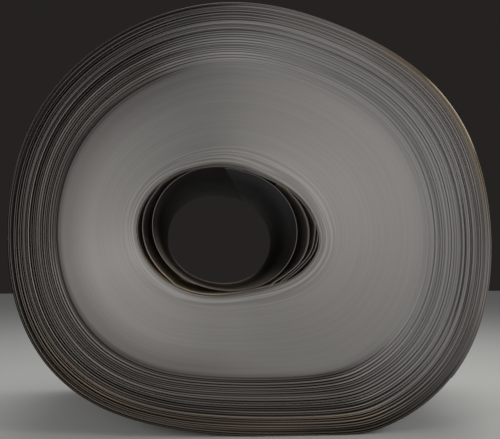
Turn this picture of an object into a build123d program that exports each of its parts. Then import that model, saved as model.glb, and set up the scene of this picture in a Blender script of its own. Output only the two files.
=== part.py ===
from build123d import *
from math import cos, sin, radians
import os

# A coil of steel strip lying on its side, its eye level, sagged to an oval by its own weight.
# Millimetres. X runs across the coil, Y along its eye and Z up. Angles turn anticlockwise
# from +X for someone who looks into the front end, along +Y.

# The strip as it was wound
strip_width = 1219.0
strip_gauge = 2.0
eye_diameter = 610.0
outside_diameter = 1836.0

# How the sag bends a round lap, as the swing of its radius in mm. Oval is wider than high,
# lean tips the oval, egg fattens one side, pear the foot, haunch the corners, twist turns them,
# spread squares the foot, and fullness and skew round off what the others leave.
outside_oval = 49.0
outside_lean = -18.5
outside_egg = -4.0
outside_pear = -21.0
outside_haunch = -16.5
outside_twist = 8.5
outside_spread = 5.0
outside_fullness = -4.0
outside_skew = -1.5

eye_oval = 48.0
eye_lean = 0.0
eye_egg = 5.0
eye_pear = -5.0
eye_haunch = 6.0
eye_twist = -3.5

# Where the centre of the eye lies from the centre of the outermost lap
eye_shift_x = -102.0
eye_shift_z = -18.0

# The innermost lap has come loose, and its end has slid in round the eye. Slack is how much
# smaller across it has wound itself than the tight laps' inner face.
loose_lap_slack = 92.0
loose_lap_oval = 20.0
loose_lap_lean = -9.0
loose_shift_x = -11.0
loose_shift_z = 1.0

# Angles where the two ends of the strip are cut off
inner_end_angle = 73.0
outer_end_angle = -38.0

# Open gaps between the loose laps, on both sides of the eye. Each gap is this share of the one
# inside it, and reaches this share as far round.
gap_ratio = 0.44
gap_shortening = 0.7
right_gaps = 3
left_gaps = 2
right_gap_angle = -2.0
left_gap_angle = 182.0
right_gap_reach = 62.0
left_gap_reach = 56.0

# Depth that the weight presses flat at the foot
foot_press = 24.0

# Groups of laps that wandered sideways while winding, from the inside out: the share of the
# build where each group starts, and how far it stands out at the front end
first_group_start = 0.60
second_group_start = 0.655
third_group_start = 0.71
fourth_group_start = 0.755
dark_group_start = 0.785
light_group_start = 0.825
sixth_group_start = 0.87
seventh_group_start = 0.915
rim_group_start = 0.965

first_group_out = 4.0
second_group_out = -3.0
third_group_out = 5.0
fourth_group_out = -1.0
dark_group_out = -9.0
light_group_out = 6.0
sixth_group_out = -4.0
seventh_group_out = 3.0
rim_group_out = -3.0

# Arcs that follow an outline, the stretch of the outermost lap before the foot and a gap's side
outline_arcs = 24
tail_arcs = 3
gap_arcs = 4

# Angles of a full turn, of the left side and of the middle of the foot, and steps of a search
full_turn = 360.0
left_side = -180.0
foot_middle = -90.0
halvings = 40

# Radius swings by their count round the lap, as cosine and sine parts
outside_swings = {
    2: (outside_oval, outside_lean),
    3: (outside_egg, outside_pear),
    4: (outside_haunch, outside_twist),
    5: (0.0, outside_spread),
    6: (outside_fullness, outside_skew),
}
eye_swings = {
    2: (eye_oval, eye_lean),
    3: (eye_egg, eye_pear),
    4: (eye_haunch, eye_twist),
}
loose_swings = {2: (loose_lap_oval, loose_lap_lean)}


def mean_radius(diameter, swings):
    """A lap keeps its length as it sags, so its mean radius drops as the swings grow."""
    radius = diameter / 2
    stretch = 1 + sum(n * n * (a * a + b * b) for n, (a, b) in swings.items()) / (4 * radius * radius)
    return radius / stretch


def lap_point(angle, diameter, swings, centre, inward=0.0):
    """Point of a sagged lap as (x, z), or of a line that far inside it."""
    t = radians(angle)
    radius = mean_radius(diameter, swings) - inward
    radius += sum(a * cos(n * t) + b * sin(n * t) for n, (a, b) in swings.items())
    return (centre[0] + radius * cos(t), centre[1] + radius * sin(t))


def mix(start, end, share):
    """Value that lies the given share of the way from start to end."""
    return start + (end - start) * share


def outside_centre():
    """Centre that puts the pressed foot on z = 0 and the two sides evenly about x = 0."""
    around = [lap_point(a, outside_diameter, outside_swings, (0, 0)) for a in range(int(full_turn))]
    middle = (max(x for x, z in around) + min(x for x, z in around)) / 2
    return (-middle, -min(z for x, z in around) - foot_press)


outer_centre = outside_centre()
eye_centre = (outer_centre[0] + eye_shift_x, outer_centre[1] + eye_shift_z)
loose_centre = (eye_centre[0] + loose_shift_x, eye_centre[1] + loose_shift_z)


def eye_point(angle):
    """Point of the tight laps' inner face."""
    return lap_point(angle, eye_diameter, eye_swings, eye_centre)


def loose_point(angle, inward=0.0):
    """Point of the innermost lap's inner face."""
    return lap_point(angle, eye_diameter - loose_lap_slack, loose_swings, loose_centre, inward)


def turned(angle):
    """Share of a turn from the strip's inner end clockwise round to an angle."""
    return (inner_end_angle - angle) % full_turn / full_turn


def build_point(angle, share):
    """Point between the tight eye, share 0, and the outermost lap with its flat foot, share 1."""
    x, z = lap_point(angle, outside_diameter, outside_swings, outer_centre)
    return tuple(mix(a, b, share) for a, b in zip(eye_point(angle), (x, max(z, 0.0))))


def skin_point(angle):
    """Point of the outermost lap, which gains one gauge in the turn that ends at the strip's outer end."""
    inward = strip_gauge * (1 - (outer_end_angle - angle) / full_turn)
    return lap_point(angle, outside_diameter, outside_swings, outer_centre, inward)


def in_plane(point):
    """Point of an end view as a point in space."""
    return (point[0], 0.0, point[1])


def line(start, end):
    """Straight edge between two points of an end view."""
    return Edge.make_line(in_plane(start), in_plane(end))


def curve(count, point_at):
    """Chain of that many arcs along a curve, which point_at gives for shares of its length from 0 to 1."""
    points = [in_plane(point_at(i / (2 * count))) for i in range(2 * count + 1)]
    ends = zip(points[:-1:2], points[1::2], points[2::2])
    return [Edge.make_three_point_arc(start, middle, end) for start, middle, end in ends]


def group_outline(share):
    """Closed outline at a share of the build."""
    return curve(outline_arcs, lambda s: build_point(full_turn * (s % 1), share))


def bore_outline():
    """One turn of the innermost lap, clockwise from its cut end, closed by a step of one gauge."""
    def lap(s):
        return loose_point(inner_end_angle - full_turn * s, -strip_gauge * s)
    return curve(outline_arcs, lap) + [line(lap(1), lap(0))]


def foot_angle(start, end):
    """Angle from start to end where the outermost lap comes down to the floor, found by halving."""
    for _ in range(halvings):
        middle = (start + end) / 2
        if skin_point(middle)[1] > 0:
            start = middle
        else:
            end = middle
    return start


def skin_outline():
    """Outermost lap, clockwise from its cut end, with the flat foot, closed by a step of one gauge."""
    right = foot_angle(outer_end_angle, foot_middle)
    left = foot_angle(left_side, foot_middle)
    last = outer_end_angle - full_turn
    before = curve(tail_arcs, lambda s: skin_point(mix(outer_end_angle, right, s)))
    foot = line(skin_point(right), skin_point(left))
    after = curve(outline_arcs, lambda s: skin_point(mix(left, last, s)))
    return before + [foot] + after + [line(skin_point(last), skin_point(outer_end_angle))]


def gap_outline(number, middle, reach):
    """Lens between two loose laps: number 0 is the innermost and widest, and it closes at both tips."""
    def edge(s, side):
        step = mix(-1.0, 1.0, s)
        angle = middle + reach * gap_shortening ** number * step
        inner, outer = loose_point(angle, -strip_gauge * turned(angle)), eye_point(angle)
        slack = ((outer[0] - inner[0]) ** 2 + (outer[1] - inner[1]) ** 2) ** 0.5
        low = slack * (1 - gap_ratio ** number) + strip_gauge
        high = slack * (1 - gap_ratio ** (number + 1))
        at = (low + high) / 2 + side * (high - low) / 2 * (1 - step ** 4)
        return tuple(mix(a, b, at / slack) for a, b in zip(inner, outer))
    return curve(gap_arcs, lambda s: edge(s, -1)) + curve(gap_arcs, lambda s: edge(1 - s, 1))


def wire_at(edges, y):
    """The edges of an outline as a wire that lies y along the eye."""
    return Wire([edge.moved(Location((0, y, 0))) for edge in edges])


def walls(edges, front, back):
    """Faces that run along the eye from front to back, one over each edge of an outline."""
    path = Vector(0, back - front, 0)
    return [Face.extrude(edge.moved(Location((0, front, 0))), path) for edge in edges]


def loose_gaps():
    """Outlines of all open gaps, the right side's first."""
    right = [gap_outline(number, right_gap_angle, right_gap_reach) for number in range(right_gaps)]
    left = [gap_outline(number, left_gap_angle, left_gap_reach) for number in range(left_gaps)]
    return right + left


def make_coil():
    """The wound strip as one solid. Every lap is one strip width long, however far it wandered."""
    starts = [first_group_start, second_group_start, third_group_start, fourth_group_start,
              dark_group_start, light_group_start, sixth_group_start, seventh_group_start, rim_group_start]
    outs = [0.0, first_group_out, second_group_out, third_group_out, fourth_group_out,
            dark_group_out, light_group_out, sixth_group_out, seventh_group_out, rim_group_out]
    outlines = [bore_outline()] + [group_outline(share) for share in starts] + [skin_outline()]
    fronts = [-strip_width / 2 - out for out in outs]
    gaps = loose_gaps()
    faces = []
    for outline in [outlines[0]] + gaps:
        faces += walls(outline, fronts[0], fronts[0] + strip_width)
    faces += walls(outlines[-1], fronts[-1], fronts[-1] + strip_width)
    for outline, inside, outside in zip(outlines[1:-1], fronts, fronts[1:]):
        faces += walls(outline, inside, outside)
        faces += walls(outline, inside + strip_width, outside + strip_width)
    holes = [[outlines[0]] + gaps] + [[outline] for outline in outlines[1:-1]]
    for inner, outer, front in zip(holes, outlines[1:], fronts):
        for y in (front, front + strip_width):
            faces.append(Face(wire_at(outer, y), [wire_at(hole, y) for hole in inner]))
    return Solid(Shell(faces))


def centred(coil):
    """The coil with the middle of its box at x = 0 and y = 0."""
    box = coil.bounding_box()
    return coil.moved(Location((-(box.min.X + box.max.X) / 2, -(box.min.Y + box.max.Y) / 2, 0)))


os.makedirs("parts", exist_ok=True)
coil = centred(make_coil())
export_step(coil, "parts/coil.step")
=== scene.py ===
"""Coil of sheet steel strip, lying on its side with its eye level, sagged to an oval.

Metres and degrees. X runs across the coil, Y along its eye from the front end to the back
end, Z up. Angles turn anticlockwise from +X for someone who looks into the front end. A
place in the coil is an angle and a lap, counted in laps outward from the eye's own line.
"""

import logging
from dataclasses import dataclass, field
from enum import Enum

import bpy
import numpy as np
from mathutils import Matrix, Vector


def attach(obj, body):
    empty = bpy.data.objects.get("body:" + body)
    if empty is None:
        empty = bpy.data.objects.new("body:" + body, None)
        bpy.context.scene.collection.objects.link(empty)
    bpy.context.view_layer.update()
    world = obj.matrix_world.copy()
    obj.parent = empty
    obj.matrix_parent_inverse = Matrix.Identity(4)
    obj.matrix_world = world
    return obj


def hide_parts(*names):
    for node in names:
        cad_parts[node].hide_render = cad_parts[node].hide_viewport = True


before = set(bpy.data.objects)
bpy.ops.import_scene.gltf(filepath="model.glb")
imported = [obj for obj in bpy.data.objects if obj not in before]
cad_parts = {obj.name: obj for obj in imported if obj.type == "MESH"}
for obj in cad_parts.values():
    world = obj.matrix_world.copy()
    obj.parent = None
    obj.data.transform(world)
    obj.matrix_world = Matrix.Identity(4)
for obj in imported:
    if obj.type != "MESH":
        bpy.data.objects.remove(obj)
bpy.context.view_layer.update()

Array = np.ndarray
Colour = tuple[float, float, float]
Point = tuple[float, float, float]
Span = tuple[float, float]
Socket = bpy.types.NodeSocket
Value = Socket | float | tuple[float, ...]
Fed = dict[str | int, Value]
Groups = dict[str, bpy.types.ShaderNodeTree]

log = logging.getLogger("coil")

FULL_TURN = 360.0
MILLIMETRE = 0.001
GAUGE = 0.002
STRIP_WIDTH = 1.219
# Y of the laps' edges at the front end, before any of them wandered
FRONT_FACE = -0.611
# Laps from the eye's own line to the outermost lap, and the first of them that is wound tight
TIGHT_LAPS = 306
FIRST_TIGHT_LAP = 4
# Laps where the laps that wandered sideways start, and where their outer band starts
FIRST_WANDERED_LAP = 184
FIRST_OUTER_LAP = 240
LOOSE_LAPS = 5
# Where the strip's outer end lies, and every turn of the tight laps starts
OUTER_END_ANGLE = -38.0
STEPS_PER_TURN = 240
# Laps that one row of the flush laps' mesh covers
LAPS_PER_FLUSH_ROW = 4
# Orders of a quad's corners that turn its face the other way
TURNED = [0, 3, 2, 1]
SWAPPED = [1, 0, 3, 2]


class Surface(Enum):
    """The strip's surfaces, each a material slot of every piece."""

    CUT_EDGE = 0
    STRIP_FACE = 1
    BORE_FACE = 2
    GAP_FACE = 3


def smooth_step(x: Array, low: float, high: float) -> Array:
    """Soft ramp from 0 at low to 1 at high: 3 s^2 - 2 s^3 of the clipped share s."""
    s = np.clip((x - low) / (high - low), 0.0, 1.0)
    return s * s * (3 - 2 * s)


def soft_maximum(a: Array, b: Array, width: Array) -> Array:
    """The larger of a and b, plus (w - d)^2 / 4w where they differ by d, less than the width w."""
    return np.maximum(a, b) + np.maximum(width - np.abs(a - b), 0.0) ** 2 / (4 * width)


def signed(angle: Array) -> Array:
    """The same angles, brought between minus and plus half a turn."""
    return (angle + FULL_TURN / 2) % FULL_TURN - FULL_TURN / 2


# Shape of the sagged coil


@dataclass(frozen=True)
class SaggedLap:
    """A round lap that its own weight has bent, as swings of its radius round the lap.

    Attributes:
        diameter: Its diameter before it sagged.
        centre: X and Z of its middle.
        swings: Cosine and sine part of each swing of the radius, by swings a turn.
    """

    diameter: float
    centre: Span
    swings: dict[int, Span]

    def mean_radius(self) -> float:
        """Work out the mean radius, which drops as the swings grow, for a lap keeps its length.

        The mean is r / (1 + sum of n^2 (a^2 + b^2) / 4 r^2), with r the round lap's radius.

        Returns:
            The mean radius.
        """
        radius = self.diameter / 2
        bend = sum(n * n * (a * a + b * b) for n, (a, b) in self.swings.items())
        return radius / (1 + bend / (4 * radius * radius))

    def points(self, angle: Array) -> tuple[Array, Array]:
        """Points of the lap: radius = mean + sum of a cos(n angle) + b sin(n angle).

        Args:
            angle: Angles in degrees.

        Returns:
            The points' X and Z.
        """
        t = np.radians(angle)
        radius = self.mean_radius()
        for n, (a, b) in self.swings.items():
            radius = radius + a * np.cos(n * t) + b * np.sin(n * t)
        return self.centre[0] + radius * np.cos(t), self.centre[1] + radius * np.sin(t)


@dataclass(frozen=True)
class RoundTheEye:
    """A distance that changes round the eye, given at stations.

    Attributes:
        stations: Angle and distance in millimetres of each station, by rising angle.
        rounding: Degrees over which the corners at the stations are rounded off.
        spacing: Degrees between the points that are averaged for that.
    """

    stations: tuple[tuple[float, float], ...]
    rounding: float = 4.0
    spacing: float = 0.5

    def at(self, angle: Array) -> Array:
        """Distance at angles: straight lines between the stations, averaged over a bell.

        Args:
            angle: Angles in degrees.

        Returns:
            The distances in metres.
        """
        marks, values = np.array(self.stations).T
        degrees = np.arange(0.0, FULL_TURN, self.spacing)
        line = np.interp(degrees, marks, values, period=FULL_TURN)
        bell = np.exp(-(signed(degrees) / self.rounding) ** 2)
        smooth = np.fft.irfft(np.fft.rfft(line) * np.fft.rfft(bell / bell.sum()), degrees.size)
        return MILLIMETRE * np.interp(angle, degrees, smooth, period=FULL_TURN)


@dataclass(frozen=True)
class CoilShape:
    """The laps that carry the coil's shape, and what lies between them.

    Attributes:
        outer: The outermost lap.
        eye: The eye's own line, from which the tight laps are counted.
        loose: Inner face of the innermost lap.
        drop: How far the first tight laps have come down onto the loose ones.
        settled_lap: Lap at which that drop has faded out.
        foot_rounding: Height of the soft curve beside the flat foot, at the rim, and how much
            more it is toward the eye.
    """

    outer: SaggedLap = SaggedLap(
        1.8354, (0.002918, 0.813054),
        {2: (0.049, -0.0185), 3: (-0.004, -0.021), 4: (-0.0165, 0.0085),
         5: (0.0, 0.005), 6: (-0.004, -0.0015)})
    eye: SaggedLap = SaggedLap(
        0.610, (-0.099082, 0.795054),
        {2: (0.048, 0.0), 3: (0.005, -0.005), 4: (0.006, -0.0035)})
    loose: SaggedLap = SaggedLap(0.518, (-0.110082, 0.796054), {2: (0.020, -0.009)})
    drop: RoundTheEye = RoundTheEye((
        (-12, 0), (0, 12), (6, 20), (20, 25), (36, 28), (50, 30), (61, 29), (75, 24),
        (90, 19), (108, 13), (120, 7), (130, 0)))
    settled_lap: float = 46.0
    foot_rounding: Span = (0.022, 0.13)

    def tight(self, angle: Array, lap: Array) -> tuple[Array, Array]:
        """Point of the tight laps, on the straight line from the eye to the outermost lap.

        The share of that line is lap / all laps. The foot is pressed flat on the floor: a lap
        lies no lower than the laps outside it let it, and leaves that level by a soft curve.
        Above the eye the first laps have come down onto the loose ones, by a drop that fades
        out over some laps.

        Args:
            angle: Angles in degrees.
            lap: Laps counted from the eye's own line.

        Returns:
            The points' X and Z.
        """
        eye_x, eye_z = self.eye.points(angle)
        lap_x, lap_z = self.loose.points(angle)
        rim_x, rim_z = self.outer.points(angle)
        share = lap / TIGHT_LAPS
        last_lap = TIGHT_LAPS - (angle - OUTER_END_ANGLE) % FULL_TURN / FULL_TURN
        fall = self.drop.at(angle) / self.slack(angle)
        fall = fall * (1 - smooth_step(lap, FIRST_TIGHT_LAP, self.settled_lap))
        x = eye_x + (rim_x - eye_x) * share + (lap_x - eye_x) * fall
        z = eye_z + (rim_z - eye_z) * share
        at_rim, more = self.foot_rounding
        rounding = (at_rim + more * (1 - share)) * share
        z = soft_maximum(z, eye_z * (last_lap - lap) / TIGHT_LAPS, rounding)
        return x, z + (lap_z - eye_z) * fall

    def slack(self, angle: Array) -> Array:
        """Work out the distance from the innermost lap to the eye's line.

        Args:
            angle: Angles in degrees.

        Returns:
            The distances.
        """
        eye_x, eye_z = self.eye.points(angle)
        lap_x, lap_z = self.loose.points(angle)
        return np.hypot(eye_x - lap_x, eye_z - lap_z)


@dataclass(frozen=True)
class SidewaysWander:
    """How far each lap stands out at the front end, because the strip wandered as it was wound.

    Attributes:
        group_starts: Laps where a group that wandered together starts.
        group_outs: How far each group stands out.
        packet: Least and most laps in the small packets inside a group.
        packet_out: How far the packets swing out and back.
        least_swing: Smallest swing of a packet, as a share of the largest.
        lap_out: How far single laps swing out and back.
        rim_lap: First of the outermost laps, which all stand out.
        rim_swing: Their swing.
        recessed: Single laps that lie back as narrow grooves: lap, count and depth.
        flush_wave: How far the flush laps swing out and back.
        flush_rates: How fast two slow waves swing there, in radians a lap.
        limits: Least and most offset, which keep both ends inside the coil's width.
        swing_margins: Laps by which the swings set in before the first group that wandered, and
            by which they are in full after the next group's start.
        takeovers: Shares of its turn between which a lap takes over from the last.
        handover: Turns before and after such a place over which the change takes place.
        seed: Seed of the packets, and with the next two numbers of all that is drawn here.
    """

    group_starts: tuple[int, ...] = (
        0, FIRST_WANDERED_LAP, 200, 217, 231, FIRST_OUTER_LAP, 252, 266, 280, 295)
    group_outs: tuple[float, ...] = (
        0.0, 0.0005, -0.001, 0.002, -0.001, -0.004, 0.004, -0.003, 0.003, -0.003)
    packet: tuple[int, int] = (2, 3)
    packet_out: float = 0.0015
    least_swing: float = 0.4
    lap_out: float = 0.0005
    rim_lap: int = 304
    rim_swing: float = 0.6
    recessed: tuple[tuple[int, int, float], ...] = (
        (203, 1, 0.003), (212, 1, 0.003), (220, 1, 0.005), (233, 1, 0.004), (258, 2, 0.007),
        (269, 2, 0.004), (284, 1, 0.010), (288, 1, 0.010), (292, 1, 0.010))
    flush_wave: float = 0.12 * MILLIMETRE
    flush_rates: Span = (0.21, 0.083)
    limits: Span = (-0.0088, 0.0058)
    swing_margins: tuple[int, int] = (2, 4)
    takeovers: Span = (0.1, 0.9)
    handover: float = 0.06
    seed: int = 11

    def packets(self) -> Array:
        """Swing of every lap, from -1 to 1: packets of laps stand out and lie back by turns.

        Returns:
            One swing for each lap number and one past the last.
        """
        rng = np.random.default_rng(self.seed)
        lengths = rng.integers(self.packet[0], self.packet[1] + 1, TIGHT_LAPS)
        sides = np.where(np.arange(TIGHT_LAPS) % 2, -1.0, 1.0)
        swings = np.repeat(sides * rng.uniform(self.least_swing, 1, TIGHT_LAPS), lengths)
        swings = swings[:TIGHT_LAPS + 2]
        swings[self.rim_lap:] = self.rim_swing
        return swings

    def wandered(self, lap: Array) -> Array:
        """How freely laps swing: a soft ramp from 0 in the flush laps to 1 in the second group."""
        before, after = self.swing_margins
        return smooth_step(lap, self.group_starts[1] - before, self.group_starts[2] + after)

    def flush_out(self, lap: Array) -> Array:
        """Offset of the flush laps: wave * (sin(first rate * lap) + sin(second rate * lap + 1))."""
        first, second = self.flush_rates
        return self.flush_wave * (np.sin(first * lap) + np.sin(second * lap + 1.0))

    def outs(self) -> Array:
        """Offset of every lap: its group's, its packet's and its own, less a groove's depth.

        Returns:
            One offset for each lap number and one past the last.
        """
        laps = np.arange(TIGHT_LAPS + 2)
        group = np.searchsorted(self.group_starts, laps, side="right") - 1
        single = np.random.default_rng(self.seed + 2).uniform(-1, 1, laps.size)
        swing = self.packet_out * self.packets() + self.lap_out * single
        out = np.array(self.group_outs)[group] + self.wandered(laps) * swing
        for lap, count, depth in self.recessed:
            out[lap:lap + count] -= depth
        return np.clip(out, *self.limits)

    def along(self, values: Array, turn: Array) -> Array:
        """Values along the strip: each lap's own, taken over softly at an angle of its own.

        Args:
            values: One value for each lap.
            turn: Places along the strip, in turns from the start of the tight laps.

        Returns:
            The values there.
        """
        phases = np.random.default_rng(self.seed + 1).uniform(*self.takeovers, values.size)
        lap = np.clip(np.floor(turn + 1e-6).astype(int), 0, values.size - 1)
        before = values[np.maximum(lap - 1, 0)]
        share = smooth_step(turn - lap - phases[lap], -self.handover, self.handover)
        return before + (values[lap] - before) * share


@dataclass(frozen=True)
class LapLine:
    """A dark or bright line along some laps, from one angle round to another.

    Attributes:
        lap: The line's middle.
        width: The laps that it is wide.
        start, end: Angles between which it shows, anticlockwise.
        factor: Brightness of the line over that of its neighbours: painted shade below 1, painted
            light above.
        fade: Degrees to each side of its ends over which it fades.
    """

    lap: float
    width: float
    start: float
    end: float
    factor: float
    fade: float = 6.0

    def shade(self, angle: Array, lap: Array) -> Array:
        """Factor at places: line factor ^ (bell across the laps * soft window along the angle).

        The bell is e ^ -(2 * laps from the line's middle / its width) ^ 4.

        Args:
            angle: Angles in degrees.
            lap: Laps of the same places.

        Returns:
            The factors.
        """
        half = (self.end - self.start) / 2
        off = np.abs(signed(angle - self.start - half))
        window = 1 - smooth_step(off, half - self.fade, half + self.fade)
        return self.factor ** (window * np.exp(-(2 * (lap - self.lap) / self.width) ** 4))


# Lines of painted shade, where laps lie back, and of painted light, on laps and edges that catch it
LAP_LINES = tuple(LapLine(*row) for row in (
    # From the upper left round to the foot or past it
    (199.0, 2.2, 110, 300, 0.6), (201.0, 28.0, 118, 305, 0.85), (242.0, 4.0, 120, 330, 0.6),
    (248.0, 6.0, 130, 300, 0.40), (299.8, 6.4, 95, 240, 0.46), (299.8, 6.4, 240, 325, 0.6),
    (301.8, 1.6, 100, 310, 0.5),
    # Top
    (205.0, 5.0, 78, 116, 0.92), (218.0, 13.0, 62, 112, 1.18), (263.0, 5.0, 78, 116, 0.86),
    (279.0, 22.0, 55, 87, 1.25),
    # Right
    (204.0, 2.0, -40, 50, 0.85), (212.0, 2.0, -50, 60, 0.85), (214.0, 22.0, -50, 58, 1.07),
    (221.0, 2.0, -45, 70, 0.84), (234.0, 2.0, -60, 40, 0.8), (240.0, 2.0, -35, 75, 0.85),
    (247.0, 5.0, -50, 92, 1.17), (258.4, 1.6, -24, 5, 0.12), (268.5, 1.8, -24, 18, 0.08),
    (294.0, 16.0, -24, -6, 1.2),
    # Lower right
    (263.5, 2.0, -75, -20, 1.5), (275.0, 2.4, -75, -15, 0.4), (283.5, 2.0, -80, 8, 0.6),
    (288.0, 2.0, -80, -24, 0.55), (292.5, 2.0, -80, 8, 0.7), (297.5, 2.0, -80, -24, 0.5),
    (302.0, 2.0, -75, -24, 0.6),
    # Below the eye, from where the flush laps end down to the foot
    (190.5, 2.2, 235, 318, 0.4), (194.5, 1.8, 235, 330, 0.5), (246.0, 9.0, 220, 248, 0.68),
    (273.0, 13.0, 224, 306, 1.38), (287.0, 13.0, 240, 286, 1.3), (300.0, 8.0, 248, 300, 1.2),
    (305.2, 1.6, 240, 300, 1.4),
    # Left
    (202.0, 24.0, 150, 188, 0.72), (210.0, 2.0, 130, 250, 0.5), (216.0, 2.4, 120, 240, 0.5),
    (224.0, 2.6, 110, 250, 0.45), (232.5, 2.0, 120, 250, 0.6), (237.0, 2.0, 130, 240, 1.6),
    (254.0, 2.0, 130, 250, 1.7), (258.0, 2.6, 120, 260, 0.6), (265.0, 2.0, 110, 250, 0.7),
    (273.0, 9.0, 105, 205, 0.82), (273.0, 10.0, 130, 163, 0.76), (278.5, 2.4, 100, 225, 0.6),
    (288.0, 2.4, 100, 220, 0.7), (295.0, 2.0, 110, 230, 0.5), (304.8, 3.0, 180, 230, 0.6),
    (305.2, 1.6, 95, 175, 1.5),
))


# Meshes


def quads(a: Array, b: Array, c: Array, d: Array) -> Array:
    """Four arrays of vertex numbers, one for each corner, as one row of quads."""
    return np.stack([a, b, c, d], axis=-1).reshape(-1, 4)


@dataclass
class MeshParts:
    """Quads of one piece with each corner's place in the coil and each face's surface.

    The place becomes the UV map "place", turn and lap. The attribute "shade" holds the factor
    of the lines at each face, and "swing" how far its lap stands out among its neighbours.

    Attributes:
        vertices: Points of the piece.
        faces: Vertex numbers of the quads.
        places: Turn and lap of their corners.
        surfaces: Material slot of each quad.
        swings: Swing of each quad's lap.
    """

    vertices: Array
    faces: list[Array] = field(default_factory=list)
    places: list[Array] = field(default_factory=list)
    surfaces: list[Array] = field(default_factory=list)
    swings: list[Array] = field(default_factory=list)

    def add(self, faces: Array, places: Array, surface: Surface,
            swing: Array | float = 0.0) -> None:
        """Add quads.

        Args:
            faces: Vertex numbers, four a row.
            places: Turn and lap of each corner, as rows of four pairs.
            surface: The surface that the quads belong to.
            swing: How far the lap stands out among its neighbours, from -1 to 1.
        """
        self.faces.append(faces)
        self.places.append(places)
        self.surfaces.append(np.full(len(faces), surface.value))
        self.swings.append(np.broadcast_to(swing, len(faces)))

    def to_object(self, name: str) -> bpy.types.Object:
        """Make the mesh, flat shaded, and its object.

        Args:
            name: Name of both.

        Returns:
            The new object, linked to the scene.
        """
        faces = np.concatenate(self.faces).astype(np.int32)
        places = np.concatenate(self.places)
        mesh = bpy.data.meshes.new(name)
        mesh.vertices.add(len(self.vertices))
        mesh.vertices.foreach_set("co", self.vertices.astype(np.float32).ravel())
        mesh.loops.add(faces.size)
        mesh.loops.foreach_set("vertex_index", faces.ravel())
        mesh.polygons.add(len(faces))
        for key, values in (("loop_start", np.arange(0, faces.size, 4)),
                            ("loop_total", np.full(len(faces), 4)),
                            ("material_index", np.concatenate(self.surfaces))):
            mesh.polygons.foreach_set(key, values.astype(np.int32))
        mesh.polygons.foreach_set("use_smooth", np.zeros(len(faces), dtype=bool))
        layer = mesh.uv_layers.new(name="place")
        layer.data.foreach_set("uv", places.astype(np.float32).ravel())
        turn, lap = places.mean(axis=1).T
        # Painted shade and light of the lap lines, a factor on the cut edges' colour
        shade = np.ones(len(faces))
        for line in LAP_LINES:
            shade *= line.shade(OUTER_END_ANGLE - FULL_TURN * turn, lap)
        for key, values in (("shade", shade), ("swing", np.concatenate(self.swings))):
            layer = mesh.attributes.new(key, "FLOAT", "FACE")
            layer.data.foreach_set("value", values.astype(np.float32))
        mesh.update(calc_edges=True)
        mesh.validate()
        piece = bpy.data.objects.new(name, mesh)
        bpy.context.scene.collection.objects.link(piece)
        return piece


@dataclass(frozen=True)
class BandGrid:
    """Points of a band of tight laps and their places, step by step along its ribbon.

    Attributes:
        turns: Turns from the ribbon's start at each step, and on for one turn more.
        laps: Lap of the ribbon's inner edge there. Its outer edge has the lap of a turn later.
        inner: Number of the front point on the inner edge at each step.
        outer: The same on the outer edge.
        front: The front points. The back ones follow them in the same order.
    """

    turns: Array
    laps: Array
    inner: Array
    outer: Array
    front: Array

    def places(self, *corners: tuple[Array, Array]) -> Array:
        """Places of the corners of quads.

        Args:
            corners: For each corner, the steps that its turn and its lap are taken from.

        Returns:
            Turn and lap of each corner, as rows of four pairs.
        """
        pairs = [np.stack([self.turns[at], self.laps[of]], axis=-1) for at, of in corners]
        return np.stack(pairs, axis=1)


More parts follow.
